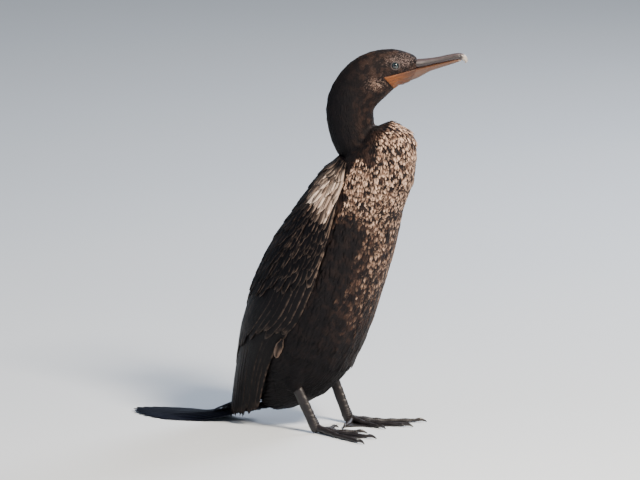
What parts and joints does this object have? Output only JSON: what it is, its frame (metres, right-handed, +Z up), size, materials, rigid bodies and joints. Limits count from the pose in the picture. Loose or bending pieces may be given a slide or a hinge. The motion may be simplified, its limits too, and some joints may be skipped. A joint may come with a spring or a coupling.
{
  "type": "life-size cormorant model",
  "caption": "A standing young cormorant with folded wings, its neck drawn into an S and its head turned to the left",
  "frame": {"origin": "on the floor, under the middle of the whole bird's box", "axes": "+X the way the body faces, +Y its left side, +Z up"},
  "size_m": [0.3612, 0.1406, 0.4048],
  "materials": {
    "dark_plumage": "short dense body feathers, near black brown",
    "breast_plumage": "mottled brown body feathers with buff tips",
    "flight_feathers": "glossy blue-black to brown vanes with pale edges",
    "bill": "horn, dusky above and orange-brown below",
    "gular_skin": "bare orange skin with fine folds",
    "leg_skin": "black scuted skin and web",
    "claw": "dark horn",
    "eye": "wet dark blue-green eye"
  },
  "bodies": {
    "root": {"head": "dark_plumage", "neck_upper": "dark_plumage", "neck_lower": "breast_plumage", "torso": "breast_plumage", "gular_skin": "gular_skin", "upper_mandible": "bill", "lower_mandible": "bill", "eye_right": "eye", "eye_left": "eye", "wing_right": "flight_feathers", "wing_left": "flight_feathers", "tail": "flight_feathers", "thigh_right": "dark_plumage", "thigh_left": "dark_plumage", "shank_right": "leg_skin", "shank_left": "leg_skin", "foot_right": "leg_skin", "foot_left": "leg_skin", "claw_right_hind": "claw", "claw_right_inner": "claw", "claw_right_middle": "claw", "claw_right_outer": "claw", "claw_left_hind": "claw", "claw_left_inner": "claw", "claw_left_middle": "claw", "claw_left_outer": "claw"}
  },
  "joints": []
}
